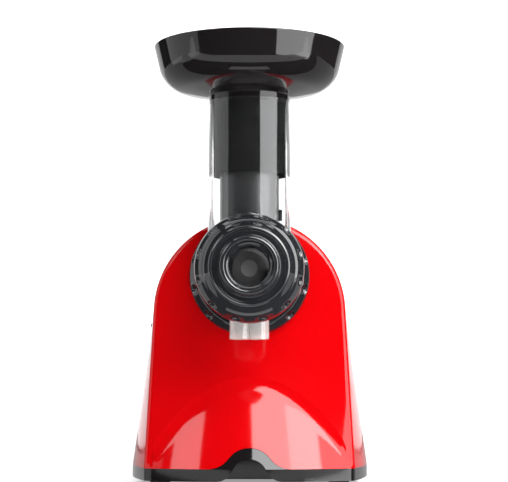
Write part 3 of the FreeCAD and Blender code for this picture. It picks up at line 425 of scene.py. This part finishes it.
def lay_along_drum(shape):
    """Turns an upright shape so that its height runs along +Y, and lifts it to the drum's axis."""
    bmesh.ops.rotate(shape, verts=shape.verts, cent=(0, 0, 0),
                     matrix=Matrix.Rotation(math.radians(-90), 3, "X"))
    bmesh.ops.translate(shape, verts=shape.verts, vec=upright * drive_z)


dent_count = 12
dent_r = 0.0045
dent_inset = 0.0006


def press_dents(shape, reach, y):
    """Presses a ring of round finger dents into a piece that lies along the drum."""
    for number in range(dent_count):
        angle = math.tau * (number + 0.5) / dent_count
        ball = Vector((reach * math.cos(angle), y, drive_z + reach * math.sin(angle)))
        for vert in shape.verts:
            away = vert.co - ball
            if away.length < dent_r:
                vert.co = ball + away.normalized() * dent_r


ring_r = 0.0443
ring_slope = 0.005
drum_bore = 0.02905
lip_width = 0.004
lip_depth = 0.001
ring_back, ring_face = ring_high.y, ring_low.y
ring = turned([
    (drum_bore, ring_back, 0),
    (ring_r, ring_back, 0.001),
    (ring_r, ring_face + ring_slope, 0.0016),
    (ring_r - ring_slope, ring_face, 0.0012),
    (drum_bore + lip_width, ring_face, 0.001),
    (drum_bore + lip_width, ring_face + lip_depth, 0.0005),
    (drum_bore, ring_face + lip_depth, 0.0005),
], steps=360, fine=0.0008)
lay_along_drum(ring)
press_dents(ring, ring_r - dent_inset, ring_face + dent_inset)
lock_ring = new_piece("turned_lock_ring", ring, smoky_plastic, "ring")
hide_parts("lock_ring")

# Front cap. A moulding of the same smoky plastic, turned onto the front of the drum. From a dented grip rim
# it steps down to a raised lip round a shallow dish, with a seat in the middle for the nozzle.
cap_r = 0.0384
rim_width = 0.006
shoulder_r = 0.0342
shoulder_depth = 0.0085
first_step_r = 0.0317
first_step_depth = 0.0072
second_step_r = 0.0306
second_step_depth = 0.0055
third_step_r = 0.0292
third_step_depth = 0.0028
lip_outer_r = 0.0276
lip_inner_r = 0.0258
dish_outer_r = 0.0252
dish_inner_r = 0.0214
dish_depth = 0.0012
boss_r = 0.0212
boss_depth = 0.0004
seat_r = 0.01755
close_gap = 0.00025
cap_dent_lift = 0.0003
cap_dent_depth = 0.0114
cap_back, cap_face = cap_high.y, cap_low.y
cap_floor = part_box("juicing_drum")[0].y - close_gap
cap = turned([
    (drum_bore, cap_back, 0.0005),
    (cap_r, cap_back, 0.0012),
    (cap_r, cap_back - rim_width, 0.0025),
    (shoulder_r, cap_face + shoulder_depth, 0.002),
    (first_step_r, cap_face + first_step_depth, 0.0008),
    (second_step_r, cap_face + second_step_depth, 0.0008),
    (third_step_r, cap_face + third_step_depth, 0.0012),
    (lip_outer_r, cap_face, 0.0012),
    (lip_inner_r, cap_face, 0.0006),
    (dish_outer_r, cap_face + dish_depth, 0.0006),
    (dish_inner_r, cap_face + dish_depth, 0.0004),
    (boss_r, cap_face + boss_depth, 0.0003),
    (seat_r, cap_face + boss_depth, 0),
    (seat_r, cap_floor, 0),
    (drum_bore, cap_floor, 0),
], steps=360, fine=0.0008)
lay_along_drum(cap)
press_dents(cap, cap_r + cap_dent_lift, cap_back - cap_dent_depth)
front_cap = new_piece("turned_front_cap", cap, smoky_plastic, "cap")
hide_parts("front_cap")

# Pulp nozzle. A short tube of the same smoky plastic that turns in the cap's seat, with a rounded lip in
# front and a stepped mouth that leads into the bore.
nozzle_r = 0.0206
nozzle_slope = 0.0012
stem_r = 0.0175
bore_r = 0.0136
bore_depth = 0.006
mouth_r = nozzle_r - 0.0034
mouth_step_r = nozzle_r - 0.0046
mouth_step_depth = 0.0024
throat_r = bore_r + 0.0006
throat_depth = 0.0036
nozzle_low, nozzle_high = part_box("pulp_nozzle")
nozzle_back, nozzle_face = nozzle_high.y, nozzle_low.y
flange_y = cap_face - close_gap
nozzle = turned([
    (stem_r, nozzle_back, 0.0004),
    (stem_r, flange_y, 0),
    (nozzle_r, flange_y, 0.0006),
    (nozzle_r, nozzle_face + nozzle_slope, 0.0011),
    (nozzle_r - nozzle_slope, nozzle_face, 0.0008),
    (mouth_r, nozzle_face, 0.0008),
    (mouth_step_r, nozzle_face + mouth_step_depth, 0.001),
    (throat_r, nozzle_face + throat_depth, 0.0008),
    (bore_r, nozzle_face + bore_depth, 0.001),
    (bore_r, nozzle_back, 0.0004),
], steps=180, fine=0.0011)
lay_along_drum(nozzle)
pulp_nozzle = new_piece("turned_pulp_nozzle", nozzle, smoky_plastic, "nozzle")
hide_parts("pulp_nozzle")

# Hopper tray. A round black moulding with a polished skin and a rounded rim. It funnels down to a neck that
# sits on the feed tube, and its matt sleeve stands in the tube.
tray_low, tray_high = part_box("hopper_tray")
tube_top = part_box("juicing_drum")[1].z
tube_y = (tray_low.y + tray_high.y) / 2
tray_wall = 0.0024
sleeve_wall = 0.002
sleeve_r = 0.0282
neck_r = 0.029
neck_top = tube_top + 0.0046
rim_r = tray_high.x
rim_round = 0.0009
bowl_r = rim_r - 0.007
bowl_floor = tube_top + 0.0115
bowl_corner = 0.012
funnel_foot = tube_top + 0.0044
funnel_rise = 0.010
tray = turned([
    (sleeve_r - sleeve_wall, tray_low.z, 0.0008),
    (sleeve_r, tray_low.z, 0.0006),
    (sleeve_r, tube_top, 0),
    (neck_r, tube_top, 0),
    (neck_r, neck_top, 0.0006),
    (bowl_r, bowl_floor, bowl_corner),
    (rim_r, tray_high.z, rim_round),
    (rim_r - tray_wall, tray_high.z, rim_round),
    (bowl_r - tray_wall, funnel_foot + funnel_rise, bowl_corner - tray_wall),
    (sleeve_r - sleeve_wall, funnel_foot, 0.0015),
], steps=200, fine=0.004)
bmesh.ops.translate(tray, verts=tray.verts, vec=(0, tube_y, 0))
hopper_tray = new_piece("turned_hopper_tray", tray, polished_black, "tray")
matt, place = finish("sleeve_black", Specular_IOR_Level=0.15)
drag = noise(place, 200, 3.0)
sleeve_black = paint(
    matt,
    Base_Color=drag.mixed((0.004, 0.004, 0.004, 1), (0.008, 0.008, 0.008, 1)),
    Roughness=0.7 + drag * 0.2,
)
hopper_tray.data.materials.append(sleeve_black)
for side in hopper_tray.data.polygons:
    side.material_index = int(side.center.z < tube_top)
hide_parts("hopper_tray")

# Food pusher. A hollow black cup, moulded in one with its flange. It hangs loose in the sleeve, with the
# flange over the funnel of the tray.
cup, place = finish("pusher_black", Specular_IOR_Level=0.55)
scuff = noise(place, 120, 3.0)
pusher_black = paint(
    cup,
    Base_Color=scuff.mixed((0.022, 0.022, 0.023, 1), (0.036, 0.036, 0.037, 1)),
    Roughness=0.18 + scuff * 0.12,
)
dress(pusher_black, "food_pusher")


# Studio sheets. A pale floor that glows more far out for the camera, a white backdrop, and white walls that
# only the camera sees. Cards that only reflections show stand in for the floor and backdrop on the gloss.
def sheet(name, low, high, shade, glow):
    """A glowing flat sheet between two opposite corners, square to the axes."""
    span = Vector(high) - Vector(low)
    shape = bmesh.new()
    bmesh.ops.create_grid(shape, x_segments=1, y_segments=1, size=0.5)
    axis = "Z" if not span.z else "Y" if not span.x else "X"
    bmesh.ops.rotate(shape, verts=shape.verts, cent=(0, 0, 0),
                     matrix=Matrix.Rotation(math.radians(90), 3, axis))
    bmesh.ops.scale(shape, verts=shape.verts, vec=span)
    bmesh.ops.translate(shape, verts=shape.verts, vec=(Vector(high) + Vector(low)) / 2)
    mesh = bpy.data.meshes.new(name)
    shape.to_mesh(mesh)
    shape.free()
    stretched = bpy.data.objects.new(name, mesh)
    bpy.context.scene.collection.objects.link(stretched)
    white_paint, place = finish(name + "_white", Base_Color=shade, Roughness=0.9, Specular_IOR_Level=0.0,
                                Emission_Color=shade, Emission_Strength=glow)
    mesh.materials.append(white_paint.material)
    return stretched


white = (1, 1, 1, 1)
pale = (0.92, 0.92, 0.92, 1)
far_glow = (2.7, 2.7, 2.7, 1)
near_reach = 1.0
far_rise = 0.7
floor = sheet("floor", (-5, -5, 0), (5, 4, 0), pale, 0.35)
floor.visible_glossy = False
floor_paint = Value(floor.data.materials[0])
place = floor_paint.node("ShaderNodeTexCoord", output="Object")
distance = floor_paint.node("ShaderNodeVectorMath", {"operation": "LENGTH"}, output=1, i0=place)
far = floor_paint.node("ShaderNodeClamp", Value=(distance - near_reach) * far_rise)
seen = floor_paint.node("ShaderNodeLightPath", output="Is Camera Ray")
paint(floor_paint, Emission_Color=(far * seen).mixed(pale, far_glow))

backdrop = sheet("backdrop", (-4, 3, 0), (4, 3, 4), white, 1.0)
backdrop.visible_glossy = False
for wall in (
    sheet("left_wall", (-5, -5, 0), (-5, 4, 5), white, 1.0),
    sheet("right_wall", (5, -5, 0), (5, 4, 5), white, 1.0),
    sheet("front_wall", (-5, -5, 0), (5, -5, 5), white, 1.0),
):
    wall.visible_glossy = False
    wall.visible_diffuse = False
    wall.visible_transmission = False

under_floor = -0.01
for card in (
    sheet("front_card", (-2, -0.75, under_floor), (2, -0.36, under_floor), pale, 0.9),
    sheet("back_card", (-2.5, 2.9, 0), (2.5, 2.9, 2.5), pale, 0.45),
    sheet("low_card", (-2.5, 0, under_floor), (2.5, 2.9, under_floor), pale, 0.16),
    sheet("near_card", (-0.1, -0.24, under_floor), (0.1, -0.17, under_floor), pale, 0.9),
):
    card.visible_camera = False
    card.visible_transmission = False
    card.visible_diffuse = False
    card.visible_shadow = False


# Studio lamps. A tall bright soft box on the right, a dimmer one on the left, two high ones in front that
# draw the patches on the skirt, and a wide soft one overhead, with a little light from all round.
def soft_box(name, stand_at, target, width, height, watts):
    """A rectangular lamp that faces a point."""
    lamp = bpy.data.lights.new(name, "AREA")
    lamp.shape = "RECTANGLE"
    lamp.size = width
    lamp.size_y = height
    lamp.energy = watts
    stand = bpy.data.objects.new(name, lamp)
    stand.location = stand_at
    aim = Vector(target) - Vector(stand_at)
    stand.rotation_euler = aim.to_track_quat("-Z", "Y").to_euler()
    bpy.context.scene.collection.objects.link(stand)


soft_box("right_box", (0.82, -0.64, 0.55), (0, -0.08, 0.2), 1.02, 1.5, 22)
soft_box("left_box", (-1.05, -0.12, 0.55), (0, -0.08, 0.2), 1.15, 1.5, 5)
soft_box("high_right_box", (0.445, -1.03, 0.75), (0, -0.08, 0.1), 0.88, 0.55, 15)
soft_box("high_left_box", (-0.72, -0.85, 0.72), (-0.04, -0.08, 0.05), 0.36, 0.3, 1.6)
soft_box("top_box", (0, 0.1, 1.6), (0, 0, 0.1), 1.6, 1.6, 14)

world = bpy.data.worlds.new("studio")
world.use_nodes = True
background = world.node_tree.nodes["Background"]
background.inputs["Color"].default_value = white
background.inputs["Strength"].default_value = 0.04
bpy.context.scene.world = world
bpy.context.scene.view_settings.view_transform = "Standard"

# Camera. It stands low in front of the machine and is tilted a little up, as in the photograph. The picture's
# width and the fitted focal length, both in pixels, give the lens.
picture_width = 508
focal_pixels = 1660
tilt_pixels = 152
eye = bpy.data.cameras.new("eye")
eye.sensor_width = 36
eye.lens = eye.sensor_width * focal_pixels / picture_width
camera = bpy.data.objects.new("eye", eye)
camera.location = (0.0033, -1.285, 0.071)
camera.rotation_euler = (math.radians(90) + math.atan(tilt_pixels / focal_pixels), 0, 0)
bpy.context.scene.collection.objects.link(camera)
bpy.context.scene.camera = camera
